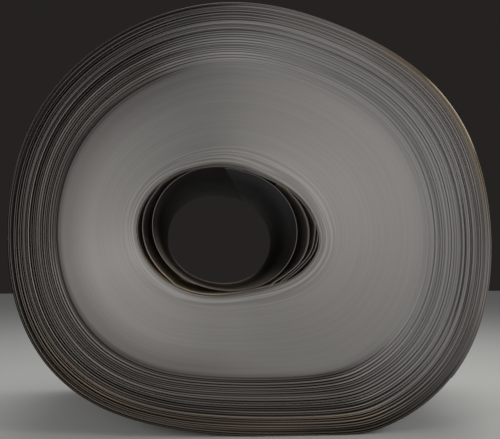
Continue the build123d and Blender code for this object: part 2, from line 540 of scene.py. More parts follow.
@dataclass(frozen=True)
class LapBand:
    """A band of tight laps, as one ribbon that winds clockwise outward.

    A row is one turn of the ribbon. Its inner edge starts at one row line and ends at the
    next, and its outer edge is the inner edge of a turn later.

    Attributes:
        name: Name of the piece.
        lines: Row lines in laps, rising, with the first two and the last two one lap apart.
        stepped: Whether every turn has its own flat edge, with a step to the next one.
    """

    name: str
    lines: tuple[int, ...]
    stepped: bool

    def build(self, shape: CoilShape, wander: SidewaysWander) -> bpy.types.Object:
        """Make the band as one closed mesh.

        Args:
            shape: Shape of the sagged coil.
            wander: How far each lap stands out.

        Returns:
            The piece.
        """
        grid = self.grid(shape, wander)
        back = grid.front + (0.0, STRIP_WIDTH, 0.0)
        parts = MeshParts(np.concatenate([grid.front, back]))
        self.add_cut_edges(parts, grid, self.swing(grid, wander))
        if self.stepped:
            self.add_steps(parts, grid)
        self.add_walls(parts, grid)
        return parts.to_object(self.name)

    def grid(self, shape: CoilShape, wander: SidewaysWander) -> BandGrid:
        """Work out the points of the band, where the turns of a stepped band share none.

        A point lies at angle = outer end - 360 * turns and at the lap that the row lines give
        for its turns, and Y = front face - the lap's offset.

        Args:
            shape: Shape of the sagged coil.
            wander: How far each lap stands out.

        Returns:
            The points with their numbers and places.
        """
        turns = np.arange((len(self.lines) - 1) * STEPS_PER_TURN + 1) / STEPS_PER_TURN
        laps = np.interp(turns, np.arange(len(self.lines)), self.lines)
        x, z = shape.tight(OUTER_END_ANGLE - FULL_TURN * turns, laps)
        inner = np.arange(turns.size - STEPS_PER_TURN)
        if self.stepped:
            outer = inner + inner.size
            used = np.concatenate([inner, inner + STEPS_PER_TURN])
            out = np.tile(wander.along(wander.outs(), self.lines[0] + turns[inner]), 2)
        else:
            outer = inner + STEPS_PER_TURN
            used = np.arange(turns.size)
            out = wander.flush_out(laps)
        front = np.stack([x[used], FRONT_FACE - out, z[used]], axis=1)
        return BandGrid(turns, laps, inner, outer, front)

    def swing(self, grid: BandGrid, wander: SidewaysWander) -> Array:
        """Swing of each step's lap: sign and square root of its packet's, faded toward the eye.

        Args:
            grid: The band's points.
            wander: How far each lap stands out.

        Returns:
            The swings, from -1 to 1.
        """
        step = grid.inner[:-1]
        if not self.stepped:
            return np.zeros(step.size)
        swing = wander.along(wander.packets(), self.lines[0] + (step + 0.5) / STEPS_PER_TURN)
        return np.sign(swing) * np.sqrt(np.abs(swing)) * wander.wandered(grid.laps[step])

    @staticmethod
    def add_cut_edges(parts: MeshParts, grid: BandGrid, swing: Array) -> None:
        """Add both ends of the band, from inner to outer edge and step by step.

        Args:
            parts: The piece.
            grid: The band's points.
            swing: Swing of each step's lap.
        """
        step, turn = grid.inner[:-1], STEPS_PER_TURN
        places = grid.places((step, step), (step + 1, step + 1),
                             (step + 1, step + 1 + turn), (step, step + turn))
        front = quads(grid.inner[step], grid.inner[step + 1],
                      grid.outer[step + 1], grid.outer[step])
        parts.add(front, places, Surface.CUT_EDGE, swing)
        back = front[:, TURNED] + len(grid.front)
        parts.add(back, places[:, TURNED], Surface.CUT_EDGE, swing)

    @staticmethod
    def add_steps(parts: MeshParts, grid: BandGrid) -> None:
        """Add the steps between one turn and the next, at both ends of the band.

        Args:
            parts: The piece.
            grid: The band's points.
        """
        step = grid.inner[:-1 - STEPS_PER_TURN]
        later = step + STEPS_PER_TURN
        places = grid.places((step, later), (step, later), (step + 1, later), (step + 1, later))
        front = quads(grid.inner[later], grid.outer[step],
                      grid.outer[step + 1], grid.inner[later + 1])
        parts.add(front, places, Surface.CUT_EDGE)
        # The corners that are swapped have the same place
        parts.add(front[:, SWAPPED] + len(grid.front), places, Surface.CUT_EDGE)

    @staticmethod
    def add_walls(parts: MeshParts, grid: BandGrid) -> None:
        """Add the band's inner and outer wall, and the cut ends of its ribbon.

        Args:
            parts: The piece.
            grid: The band's points.
        """
        back, turn = len(grid.front), STEPS_PER_TURN
        inner, outer = grid.inner, grid.outer
        first = inner[:turn]
        wall = quads(inner[first], inner[first] + back, inner[first + 1] + back, inner[first + 1])
        places = grid.places((first, first), (first, first), (first + 1, first), (first + 1, first))
        parts.add(wall, places, Surface.GAP_FACE)
        last = inner[-1 - turn:-1]
        lap = last + turn
        wall = quads(outer[last] + back, outer[last], outer[last + 1], outer[last + 1] + back)
        places = grid.places((last, lap), (last, lap), (last + 1, lap), (last + 1, lap))
        parts.add(wall, places, Surface.STRIP_FACE)
        for end, order in ((inner[:1], slice(None)), (inner[-1:], TURNED)):
            cap = quads(inner[end], outer[end], outer[end] + back, inner[end] + back)
            parts.add(cap[:, order], grid.places(*[(end, end)] * 4), Surface.CUT_EDGE)


@dataclass(frozen=True)
class LooseLaps:
    """The laps that slid in round the eye, open beside and below it and in touch above it.

    Attributes:
        second, third, fourth: How far out each of these laps may lie beside and below the
            eye, from the innermost lap's line. Elsewhere they touch the next lap out.
        front_corner, back_corner: Angles of the two corners of the strip's slanting cut end.
        slant_turns: Turns over which the slant of the cut end fades out.
        sprung: How far the cut end has sprung inward.
        spring_turns: Turns over which that fades to about a third.
        sideways: Least and most offset of the laps at the front end.
        bore_turns: Turns of the strip that are seen as the wall of the eye.
        columns: Mesh columns along the eye.
        seed: Seed of the sideways offsets.
    """

    second: RoundTheEye = RoundTheEye((
        (-165, 41), (-155, 39), (-142, 38.5), (-135, 40), (-128, 60), (-62, 60), (-50, 17),
        (-42, 20), (-35, 26), (-28, 36), (-20, 44), (-11, 48), (0, 48), (6, 46), (18, 38),
        (29, 29.5), (36, 27), (45, 40), (60, 90), (130, 90), (146, 26), (156, 30), (162, 35),
        (168, 38), (180, 40)), 3.0)
    third: RoundTheEye = RoundTheEye((
        (-90, 90), (-60, 40), (-40, 31), (-29, 42), (-24, 50), (-19, 61), (-13, 67), (-2, 72),
        (6, 75), (20, 120), (200, 120)), 3.0)
    fourth: RoundTheEye = RoundTheEye((
        (-90, 90), (-60, 50), (-40, 38), (-29, 52), (-24, 60), (-19, 71), (-12, 80), (-2, 84),
        (6, 90), (20, 130), (200, 130)), 3.0)
    front_corner: float = 89.8
    back_corner: float = 56.6
    slant_turns: float = 0.35
    sprung: float = 0.003
    spring_turns: float = 0.04
    sideways: Span = (-0.0015, 0.003)
    bore_turns: float = 1.09
    columns: int = 6
    seed: int = 5

    @property
    def middle(self) -> float:
        """Angle of the middle of the cut end."""
        return (self.front_corner + self.back_corner) / 2

    @property
    def turns(self) -> float:
        """Length of the strip in turns, from the middle of its cut end to the tight laps."""
        return LOOSE_LAPS + (self.middle - OUTER_END_ANGLE) / FULL_TURN

    def outward(self, shape: CoilShape, angle: Array, turned: Array) -> Array:
        """How far the strip's inner face lies outside the innermost lap's own line.

        The innermost lap lies out by its gauge times the turns before it. Each later lap lies
        as far out as the tight laps and its own line let it, and a gauge outside the one before.

        Args:
            shape: Shape of the sagged coil.
            angle: Angles in degrees.
            turned: Turns from the middle of the cut end.

        Returns:
            The distances.
        """
        first_out = 1 + self.turns - LOOSE_LAPS
        closed = shape.slack(angle) - shape.drop.at(angle) + GAUGE * (turned - first_out)
        out = inside = GAUGE * turned
        for number, line in enumerate((self.second, self.third, self.fourth, None), start=1):
            lap = closed if line is None else np.minimum(line.at(angle), closed)
            lap = np.maximum(lap, inside)
            out = np.where(turned < number, out, lap)
            inside = np.where(turned < number + 1, out, lap + GAUGE)
        return out - self.sprung * np.exp(-np.maximum(turned, 0.0) / self.spring_turns)

    def sideways_out(self, along: Array) -> Array:
        """How far the strip stands out at the front end: lap by lap, with soft changes.

        Args:
            along: Turns along the strip from its cut end.

        Returns:
            The offsets.
        """
        offsets = np.random.default_rng(self.seed).uniform(*self.sideways, LOOSE_LAPS + 2)
        lap = np.clip(np.floor(along).astype(int), 0, LOOSE_LAPS)
        return offsets[lap] + (offsets[lap + 1] - offsets[lap]) * smooth_step(along - lap, 0, 1)

    def build(self, shape: CoilShape) -> bpy.types.Object:
        """Make the loose strip as one closed ribbon.

        Near its cut end the strip is sheared, so that the end slants from the front corner to
        the back corner: angle = unsheared angle + slant * (1 - soft ramp along the strip).

        Args:
            shape: Shape of the sagged coil.

        Returns:
            The piece.
        """
        steps = int(np.ceil(self.turns * STEPS_PER_TURN))
        along = np.linspace(0.0, self.turns, steps + 1)[:, None]
        across = np.linspace(0.0, 1.0, self.columns + 1)[None, :]
        slant = (self.front_corner - self.back_corner) * (0.5 - across)
        slant = slant * (1 - smooth_step(along, 0.0, self.slant_turns))
        angle = self.middle - FULL_TURN * along + slant
        turned = (self.middle - angle) / FULL_TURN
        outward = self.outward(shape, angle, turned)
        y = FRONT_FACE - self.sideways_out(along) + STRIP_WIDTH * across
        sides = []
        for lift in (0.0, GAUGE):
            x, z = self.points(shape, angle, outward + lift)
            sides.append(np.stack([x, y, z], axis=-1).reshape(-1, 3))
        parts = MeshParts(np.concatenate(sides))
        before = turned - self.turns
        place = np.stack([before + LOOSE_LAPS, before + FIRST_TIGHT_LAP], axis=-1)
        numbers = np.arange(angle.size).reshape(angle.shape)
        self.add_faces(parts, numbers, place)
        self.add_rim(parts, numbers, place)
        return parts.to_object("loose_inner_laps")

    @staticmethod
    def points(shape: CoilShape, angle: Array, outward: Array) -> tuple[Array, Array]:
        """Points outside the innermost lap's line, on the straight way to the eye's line.

        The share of that way is outward / slack.

        Args:
            shape: Shape of the sagged coil.
            angle: Angles in degrees.
            outward: How far out the points lie.

        Returns:
            The points' X and Z.
        """
        lap_x, lap_z = shape.loose.points(angle)
        eye_x, eye_z = shape.eye.points(angle)
        share = outward / shape.slack(angle)
        return lap_x + (eye_x - lap_x) * share, lap_z + (eye_z - lap_z) * share

    def add_faces(self, parts: MeshParts, numbers: Array, place: Array) -> None:
        """Add the strip's inner and outer face.

        Args:
            parts: The piece.
            numbers: Vertex numbers of the inner face, along the strip and across it.
            place: Turn and lap of each.
        """
        low, high = slice(0, -1), slice(1, None)
        corners = ((low, low), (low, high), (high, high), (high, low))
        faces = quads(*(numbers[corner] for corner in corners))
        spots = np.stack([place[corner].reshape(-1, 2) for corner in corners], axis=1)
        bore = int(self.bore_turns * STEPS_PER_TURN) * self.columns
        parts.add(faces[:bore], spots[:bore], Surface.BORE_FACE)
        parts.add(faces[bore:], spots[bore:], Surface.GAP_FACE)
        parts.add(faces[:, ::-1] + numbers.size, spots[:, ::-1], Surface.GAP_FACE)

    @staticmethod
    def add_rim(parts: MeshParts, numbers: Array, place: Array) -> None:
        """Add the strip's two long edges and its two ends, from the inner to the outer face.

        Args:
            parts: The piece.
            numbers: Vertex numbers of the inner face, along the strip and across it.
            place: Turn and lap of each.
        """
        one_lap_out = (0, 1)
        for edge, turned in ((np.s_[:, 0], False), (np.s_[:, -1], True), (0, True), (-1, False)):
            line, spots = numbers[edge], place[edge]
            rim = quads(line[:-1], line[1:], line[1:] + numbers.size, line[:-1] + numbers.size)
            ends = np.stack([spots[:-1], spots[1:],
                             spots[1:] + one_lap_out, spots[:-1] + one_lap_out], axis=1)
            order = slice(None, None, -1) if turned else slice(None)
            parts.add(rim[:, order], ends[:, order], Surface.CUT_EDGE)


# Finishes


class Nodes:
    """Short words for putting shader nodes into a tree and joining them."""

    def __init__(self, tree: bpy.types.NodeTree) -> None:
        """Keep the tree."""
        self.tree = tree

    def add(self, kind: str, fed: Fed | None = None, **settings: object) -> bpy.types.Node:
        """Add a node.

        Args:
            kind: Its type.
            fed: What its inputs get, by name or number: another node's output, or a value.
            settings: Properties to set on it.

        Returns:
            The node.
        """
        node = self.tree.nodes.new(kind)
        for key, value in settings.items():
            setattr(node, key, value)
        for key, value in (fed or {}).items():
            self.feed(node.inputs[key], value)
        return node

    def feed(self, socket: Socket, value: Value) -> None:
        """Link another node's output to a socket, or set a plain value on it.

        Args:
            socket: The socket.
            value: The output or the value. A colour of three numbers becomes opaque.
        """
        if isinstance(value, Socket):
            self.tree.links.new(value, socket)
        elif isinstance(value, tuple):
            socket.default_value = (*value, 1.0)
        else:
            socket.default_value = value

    def math(self, operation: str, *values: Value) -> Socket:
        """Result of a Math node."""
        return self.add("ShaderNodeMath", dict(enumerate(values)), operation=operation).outputs[0]

    def times(self, a: Value, b: Value) -> Socket:
        """Product of two values."""
        return self.math("MULTIPLY", a, b)

    def line(self, value: Value, slope: Value, offset: Value) -> Socket:
        """Value times slope, plus offset."""
        return self.math("MULTIPLY_ADD", value, slope, offset)

    def rest(self, share: Value) -> Socket:
        """What a share leaves of 1."""
        return self.math("SUBTRACT", 1.0, share)

    def centred(self, value: Value) -> Socket:
        """A value that is spread about 0.5, spread about 0."""
        return self.math("SUBTRACT", value, 0.5)

    def ramp(self, value: Value, low: Value, high: Value) -> Socket:
        """Soft ramp of a value, from 0 at low to 1 at high."""
        fed = {"Value": value, "From Min": low, "From Max": high}
        return self.add("ShaderNodeMapRange", fed, interpolation_type="SMOOTHSTEP").outputs[0]

    def mix(self, share: Value, low: Value, high: Value) -> Socket:
        """Plain mix of two numbers."""
        fed = {"Factor": share, "A": low, "B": high}
        return self.add("ShaderNodeMix", fed, data_type="FLOAT").outputs["Result"]

    def tint(self, share: Value, low: Value, high: Value, blend: str = "MIX") -> Socket:
        """Mix of two colours, which a Mix node takes at its inputs 6 and 7."""
        fed = {0: share, 6: low, 7: high}
        return self.add("ShaderNodeMix", fed, data_type="RGBA", blend_type=blend).outputs[2]

    def point(self, x: Value, y: Value, z: Value) -> Socket:
        """Vector of three numbers."""
        return self.add("ShaderNodeCombineXYZ", {"X": x, "Y": y, "Z": z}).outputs[0]

    def noise(self, place: Socket, detail: float) -> Socket:
        """Noise at a place, spread about 0.5."""
        fed = {"Vector": place, "Scale": 1.0, "Detail": detail}
        return self.add("ShaderNodeTexNoise", fed).outputs[0]


class NewGroup:
    """A shader node group, with the words for its nodes, its inputs and its outputs."""

    def __init__(self, name: str, inputs: dict[str, float], outputs: tuple[str, ...]) -> None:
        """Start the group.

        Args:
            name: Its name.
            inputs: Names and default values of its number inputs.
            outputs: Names of its number outputs.
        """
        self.tree = bpy.data.node_groups.new(name, "ShaderNodeTree")
        for names, way in ((inputs, "INPUT"), (outputs, "OUTPUT")):
            for key in names:
                self.tree.interface.new_socket(key, in_out=way, socket_type="NodeSocketFloat")
        for key, value in inputs.items():
            self.tree.interface.items_tree[key].default_value = value
        self.n = Nodes(self.tree)
        self.at = self.n.add("NodeGroupInput").outputs
        self.out = self.n.add("NodeGroupOutput").inputs


def make_lap_place() -> bpy.types.ShaderNodeTree:
    """Make the group that reads a piece's own map of turns and laps.

    Returns:
        The group. Across and Round are the cosine and sine of the angle, Lap is the lap
        number and Line is the share of the way across the lap's own edge.
    """
    group = NewGroup("lap_place", {}, ("Across", "Round", "Lap", "Line"))
    n = group.n
    place = n.add("ShaderNodeUVMap", uv_map="place").outputs[0]
    turn, lap = n.add("ShaderNodeSeparateXYZ", {0: place}).outputs[:2]
    angle = n.line(turn, -2 * np.pi, np.radians(OUTER_END_ANGLE))
    share = n.math("FRACT", n.math("SUBTRACT", lap, turn))
    for key, value in (("Across", n.math("COSINE", angle)), ("Round", n.math("SINE", angle)),
                       ("Lap", lap), ("Line", share)):
        n.feed(group.out[key], value)
    return group.tree


def make_lap_streaks() -> bpy.types.ShaderNodeTree:
    """Make the group for tone that changes from lap to lap and slowly along each lap.

    Returns:
        The group. Fine changes with every lap, Coarse over packets of laps and Slow over
        wide rings. All are spread about 0.5.
    """
    group = NewGroup("lap_streaks", {"Across": 0.0, "Round": 0.0, "Lap": 0.0},
                     ("Fine", "Coarse", "Slow"))
    n, at = group.n, group.at
    round_scale = 0.8
    across, round_ = (n.times(at[key], round_scale) for key in ("Across", "Round"))
    for key, by_lap, detail in (("Fine", 0.36, 0.0), ("Coarse", 0.13, 0.0), ("Slow", 0.03, 1.0)):
        place = n.point(across, round_, n.times(at["Lap"], by_lap))
        n.feed(group.out[key], n.noise(place, detail))
    return group.tree


def make_strip_grain() -> bpy.types.ShaderNodeTree:
    """Make the group for streaks along the strip's rolled face.

    Returns:
        The group. Streak changes over millimetres along the eye and slowly round the coil,
        and Cloud over hands' breadths.
    """
    group = NewGroup("strip_grain", {"Across": 0.0, "Round": 0.0}, ("Streak", "Cloud"))
    n, at = group.n, group.at
    place = n.add("ShaderNodeTexCoord").outputs["Object"]
    along_eye = n.add("ShaderNodeSeparateXYZ", {0: place}).outputs["Y"]
    for key, round_scale, eye_scale in (("Streak", 3.0, 60.0), ("Cloud", 2.0, 4.0)):
        across, round_ = (n.times(at[way], round_scale) for way in ("Across", "Round"))
        place = n.point(across, round_, n.times(along_eye, eye_scale))
        n.feed(group.out[key], n.noise(place, detail=3.0))
    return group.tree


def make_sector() -> bpy.types.ShaderNodeTree:
    """Make the group for a mask of one sector of the coil.

    Returns:
        The group. Mask is 1 within Full degrees of Middle and falls softly to 0 at Gone degrees.
    """
    group = NewGroup("sector", {"Across": 0.0, "Round": 0.0, "Middle": 0.0, "Full": 30.0,
                                "Gone": 60.0}, ("Mask",))
    n, at = group.n, group.at
    middle, full, gone = (n.math("RADIANS", at[key]) for key in ("Middle", "Full", "Gone"))
    facing = n.line(at["Across"], n.math("COSINE", middle),
                    n.times(at["Round"], n.math("SINE", middle)))
    mask = n.ramp(facing, n.math("COSINE", gone), n.math("COSINE", full))
    n.feed(group.out["Mask"], mask)
    return group.tree


class LapMaterial:
    """A material with the lap groups placed in it, and short words for its masks."""

    def __init__(self, name: str, groups: Groups) -> None:
        """Start the material and read the piece's map of turns and laps.

        Args:
            name: The material's name.
            groups: The shared groups by name.
        """
        self.material = bpy.data.materials.new(name)
        self.material.use_nodes = True
        self.groups = groups
        self.n = Nodes(self.material.node_tree)
        self.shader = self.material.node_tree.nodes["Principled BSDF"]
        place = self.n.add("ShaderNodeGroup", node_tree=groups["place"]).outputs
        self.across, self.round, self.lap, self.line = place

    def placed(self, group: str, **values: Value) -> bpy.types.bpy_prop_collection:
        """Place one of the groups that work on a place in the coil.

        Args:
            group: Which group.
            values: Its own values.

        Returns:
            The group's outputs.
        """
        fed = {"Across": self.across, "Round": self.round, **values}
        return self.n.add("ShaderNodeGroup", fed, node_tree=self.groups[group]).outputs

    def attribute(self, name: str) -> Socket:
        """Value that the mesh holds for each face."""
        return self.n.add("ShaderNodeAttribute", attribute_name=name).outputs["Fac"]

    def swung(self, noise: Socket, strength: Value) -> Socket:
        """Factor 2 ^ (strength * (noise - 0.5)), which is 1 where the noise is 0.5."""
        return self.n.math("POWER", 2.0, self.n.times(self.n.centred(noise), strength))


@dataclass(frozen=True)
class Stretch:
    """A stretch of the coil where a colour or a shade shows.

    Attributes:
        middle: Angle of its middle.
        full: Degrees to each side over which it shows in full.
        gone: Degrees to each side at which it has faded out.
        laps: Laps where it starts to show and where it shows in full, or None for all laps.
    """

    middle: float
    full: float
    gone: float
    laps: Span | None = None

    def mask(self, made: LapMaterial) -> Socket:
        """Make the stretch's mask.

        Args:
            made: The material that it is for.

        Returns:
            The mask.
        """
        values = {"Middle": self.middle, "Full": self.full, "Gone": self.gone}
        mask = made.placed("sector", **values)["Mask"]
        return made.n.times(made.n.ramp(made.lap, *self.laps), mask) if self.laps else mask


@dataclass(frozen=True)
class EdgeMasks:
    """Masks of the kinds of laps at both ends.

    Attributes:
        lit_side: The side where the wandered laps are lit and get no painted shade.
        outer: The wandered laps.
        on_shaded_side: The wandered laps on the side with painted shade.
        deep_in_shade: Those deepest in that painted shade.
    """

    lit_side: Socket
    outer: Socket
    on_shaded_side: Socket
    deep_in_shade: Socket


@dataclass(frozen=True)
class SlitEdge:
    """Cut edges of the laps, which make up both ends: dull satin steel, with painted shade on the
    outer laps away from the light.

    A pair of strengths holds for the flush and for the wandered laps. A pair of laps tells
    where something starts to show and where it shows in full.

    Attributes:
        loose: Colour of the loose laps.
        browned: Colour of the first tight laps.
        clean: Colour of the flush laps.
        dimmed: Darker colour of the flush laps' outer part, on the left.
        lit: Colour of the wandered laps on the lit side.
        lit_rim: The same near the rim.
        painted_shade: Colour of the wandered laps on the side away from the light, as painted
            shade.
        gold: Brownish gold colour at the upper right of the rim.
        bright: Painted highlight along the outermost edge at the upper right.
        rust_cast: Tint of the outer laps near the foot, which have begun to rust.
        lit_side: Where the wandered laps are lit and get no painted shade.
        even_side: Where the wandered laps differ least.
        dim_stretch, gold_stretch, highlight_stretch, rusty_stretch: Where those colours lie.
        calm: Where the wandered laps differ less.
        shaded: Stretches that lie in a shade, and how much light is left there.
        browned_laps, clean_laps, rim_laps: Laps where those colours start.
        shaded_start, lit_start: Laps where the wandered laps' colours start on each side.
        ragged: How many laps that start runs out and in.
        deep_in_shade: Shares of the shaded side where laps start to count as deep in shade, and do
            in full.
        fine, packets, rings: Strengths of the streaks from lap to lap and over more laps.
        fine_noise: Noise at which a fine streak is darkest and at which it is brightest.
        near_eye: Laps where the streaks near the eye start to fade and where they are gone.
        fine_near_eye, fine_deep_in_shade, packets_shaded_side: How much stronger the streaks are
        there.
        proud, lying: Painted light gained by standing out and shade by lying back, on the shaded
            side.
        lit_relief: The same for both, on a lap on the lit side.
        even_relief: The same on the even side, before and past the laps in even_laps.
        uneven: Shares of the other side where its own relief starts and where it is in full.
        calm_relief: Share of it that is left in the calm stretches.
        painted_sheen: Strengths of the sheen painted on the ends, as highlight and shade by angle.
        sheen_angle: Angle along which the painted sheen is brightest.
        groove: Shares of a lap's half thickness where its groove starts and is deepest.
        groove_depth: How much darker the groove is.
        sheen: Factors where a lap starts to have a sheen of its own and has it in full.
        metallic: Metal share of such laps.
        roughness: Roughness of the flush and of the wandered laps.
    """

    loose: Colour = (0.080, 0.074, 0.067)
    browned: Colour = (0.114, 0.103, 0.091)
    clean: Colour = (0.174, 0.166, 0.157)
    dimmed: Colour = (0.108, 0.100, 0.094)
    lit: Colour = (0.158, 0.151, 0.145)
    lit_rim: Colour = (0.114, 0.104, 0.097)
    painted_shade: Colour = (0.040, 0.0345, 0.030)
    gold: Colour = (0.105, 0.080, 0.054)
    bright: Colour = (0.40, 0.345, 0.26)
    rust_cast: Colour = (1.13, 0.98, 0.80)
    lit_side: Stretch = Stretch(31.0, 60.0, 95.0)
    even_side: Stretch = Stretch(22.0, 38.0, 76.0)
    dim_stretch: Stretch = Stretch(190.0, 50.0, 105.0, (105.0, 175.0))
    gold_stretch: Stretch = Stretch(30.0, 16.0, 34.0, (288.0, 302.0))
    highlight_stretch: Stretch = Stretch(29.0, 6.0, 13.0, (303.4, 304.0))
    rusty_stretch: Stretch = Stretch(257.0, 32.0, 64.0, (254.0, 276.0))
    calm: tuple[Stretch, Stretch] = (Stretch(118.0, 34.0, 58.0), Stretch(262.0, 20.0, 40.0))
    shaded: tuple[tuple[Stretch, float], ...] = (
        (Stretch(138.0, 18.0, 62.0), 0.80), (Stretch(232.0, 10.0, 42.0), 0.90),
        (Stretch(138.0, 35.0, 75.0, (262.0, 284.0)), 0.82))
    browned_laps: Span = (3.0, 5.0)
    clean_laps: Span = (5.0, 14.0)
    rim_laps: Span = (245.0, 292.0)
    shaded_start: Span = (173.0, 191.0)
    lit_start: Span = (166.0, 200.0)
    ragged: float = 20.0
    deep_in_shade: Span = (0.4, 1.0)
    fine: Span = (0.05, 0.18)
    packets: Span = (0.03, 0.2)
    rings: Span = (0.04, 0.6)
    fine_noise: Span = (0.42, 0.58)
    near_eye: Span = (8.0, 45.0)
    fine_near_eye: float = 0.45
    fine_deep_in_shade: float = 0.6
    packets_shaded_side: float = 0.4
    proud: float = 2.3
    lying: float = 0.94
    lit_relief: float = 0.7
    even_relief: Span = (0.05, 0.22)
    even_laps: Span = (250.0, 268.0)
    uneven: Span = (0.2, 1.0)
    calm_relief: float = 0.68
    painted_sheen: Span = (0.21, 0.05)
    sheen_angle: float = 17.0
    groove: Span = (0.38, 0.5)
    groove_depth: float = 0.16
    sheen: Span = (0.1, 0.9)
    metallic: float = 0.35
    roughness: Span = (0.52, 0.6)

    def make(self, groups: Groups) -> bpy.types.Material:
        """Make the material: its colour times the factors of the streaks, painted relief and
        shades.

        Args:
            groups: The shared groups by name.

        Returns:
            The material.
        """
        made = LapMaterial("slit_edge", groups)
        n, shader = made.n, made.shader
        streaks = made.placed("streaks", Lap=made.lap)
        masks = self.masks(made, streaks["Slow"])
        factor = n.times(self.streaked(made, streaks, masks), self.relief(made, masks))
        factor = n.times(factor, self.shade(made, masks))
        colour = {0: self.colour(made, masks), "Scale": factor}
        scaled = n.add("ShaderNodeVectorMath", colour, operation="SCALE")
        n.feed(shader.inputs["Base Color"], scaled.outputs[0])
        n.feed(shader.inputs["Roughness"], n.mix(masks.outer, *self.roughness))
        # Laps that lie back in the dark have no sheen of their own
        sheen = n.ramp(factor, *self.sheen)
        n.feed(shader.inputs["Metallic"], n.mix(sheen, 1.0, self.metallic))
        return made.material

    def masks(self, made: LapMaterial, slow: Socket) -> EdgeMasks:
        """Tell the kinds of laps apart. The wandered laps start at a ragged line.

        Args:
            made: The material.
            slow: Slow noise, by which that line runs out and in.

        Returns:
            The masks.
        """
        n = made.n
        lit_side = self.lit_side.mask(made)
        lap = n.line(n.centred(slow), self.ragged, made.lap)
        starts = (n.mix(lit_side, *laps) for laps in zip(self.shaded_start, self.lit_start))
        outer = n.ramp(lap, *starts)
        on_shaded_side = n.times(outer, n.rest(lit_side))
        return EdgeMasks(lit_side, outer, on_shaded_side, n.ramp(on_shaded_side, *self.deep_in_shade))

    def colour(self, made: LapMaterial, masks: EdgeMasks) -> Socket:
        """Lay the colours on each other: those of the flush laps and of the wandered ones.

        Args:
            made: The material.
            masks: The kinds of laps.

        Returns:
            The colour.
        """
        n, lap = made.n, made.lap
        tone = n.tint(n.ramp(lap, *self.rim_laps), self.lit, self.lit_rim)
        # Painted shade: the wandered laps on the side away from the light get a far darker colour
        tone = n.tint(masks.lit_side, self.painted_shade, tone)
        tone = n.tint(self.gold_stretch.mask(made), tone, self.gold)
        # Painted highlight along the outermost edge at the upper right
        tone = n.tint(self.highlight_stretch.mask(made), tone, self.bright)
        clean = n.tint(self.dim_stretch.mask(made), self.clean, self.dimmed)
        clean = n.tint(n.ramp(lap, *self.clean_laps), self.browned, clean)
        clean = n.tint(n.ramp(lap, *self.browned_laps), self.loose, clean)
        base = n.tint(masks.outer, clean, tone)
        return n.tint(self.rusty_stretch.mask(made), base, self.rust_cast, "MULTIPLY")

    def streaked(self, made: LapMaterial, streaks: bpy.types.bpy_prop_collection,
                 masks: EdgeMasks) -> Socket:
        """Factor of the streaks: fine lines from lap to lap, packets and wide rings.

        It is (1 + fine strength * fine) * 2 ^ (packets' strength * coarse + rings' * slow),
        with each noise taken about 0.

        Args:
            made: The material.
            streaks: The streaks.
            masks: The kinds of laps.

        Returns:
            The factor.
        """
        n = made.n
        near_eye = n.rest(n.ramp(made.lap, *self.near_eye))
        strength = n.line(near_eye, self.fine_near_eye, n.mix(masks.outer, *self.fine))
        strength = n.line(masks.deep_in_shade, self.fine_deep_in_shade, strength)
        fine = n.centred(n.ramp(streaks["Fine"], *self.fine_noise))
        factor = n.line(fine, strength, 1.0)
        strength = n.line(masks.on_shaded_side, self.packets_shaded_side, n.mix(masks.outer, *self.packets))
        factor = n.times(factor, made.swung(streaks["Coarse"], strength))
        return n.times(factor, made.swung(streaks["Slow"], n.mix(masks.outer, *self.rings)))

    def relief(self, made: LapMaterial, masks: EdgeMasks) -> Socket:
        """Painted light and shade of the relief: proud laps are bright and laps that lie back are
        dark.

        It is 1 + proud strength * swing out + lying strength * swing back.

        Args:
            made: The material.
            masks: The kinds of laps.

        Returns:
            The factor.
        """
        n = made.n
        other_side = n.times(masks.outer, n.rest(self.even_side.mask(made)))
        uneven = n.ramp(other_side, *self.uneven)
        even = n.mix(n.ramp(made.lap, *self.even_laps), *self.even_relief)
        calm = n.math("MAXIMUM", *(stretch.mask(made) for stretch in self.calm))
        swing = n.times(made.attribute("swing"), n.mix(calm, 1.0, self.calm_relief))
        # Painted light on laps that stand out and painted shade on laps that lie back
        factor = 1.0
        for side, shaded_relief in (("MAXIMUM", self.proud), ("MINIMUM", self.lying)):
            strength = n.mix(masks.deep_in_shade, self.lit_relief, shaded_relief)
            strength = n.mix(uneven, even, strength)
            factor = n.line(n.math(side, swing, 0.0), strength, factor)
        return factor

    def shade(self, made: LapMaterial, masks: EdgeMasks) -> Socket:
        """Factor of the painted sheen, the shaded stretches, the lines and the grooves between
        laps.

        The painted sheen goes with the cosine of twice the angle from its own angle.

        Args:
            made: The material.
            masks: The kinds of laps.

        Returns:
            The factor.
        """
        n = made.n
        twice = np.radians(2 * self.sheen_angle)
        cosine = n.line(n.times(made.across, made.across), 2.0, -1.0)
        sine = n.times(n.times(made.across, made.round), 2.0)
        # Painted highlight and shade by angle, like light on fine concentric grooves
        painted_sheen = n.line(cosine, np.cos(twice), n.times(sine, np.sin(twice)))
        factor = n.line(painted_sheen, n.mix(masks.outer, *self.painted_sheen), 1.0)
        for stretch, left in self.shaded:
            factor = n.times(factor, n.mix(stretch.mask(made), 1.0, left))
        factor = n.times(factor, made.attribute("shade"))
        groove = n.ramp(n.math("ABSOLUTE", n.centred(made.line)), *self.groove)
        return n.times(factor, n.line(groove, -self.groove_depth, 1.0))


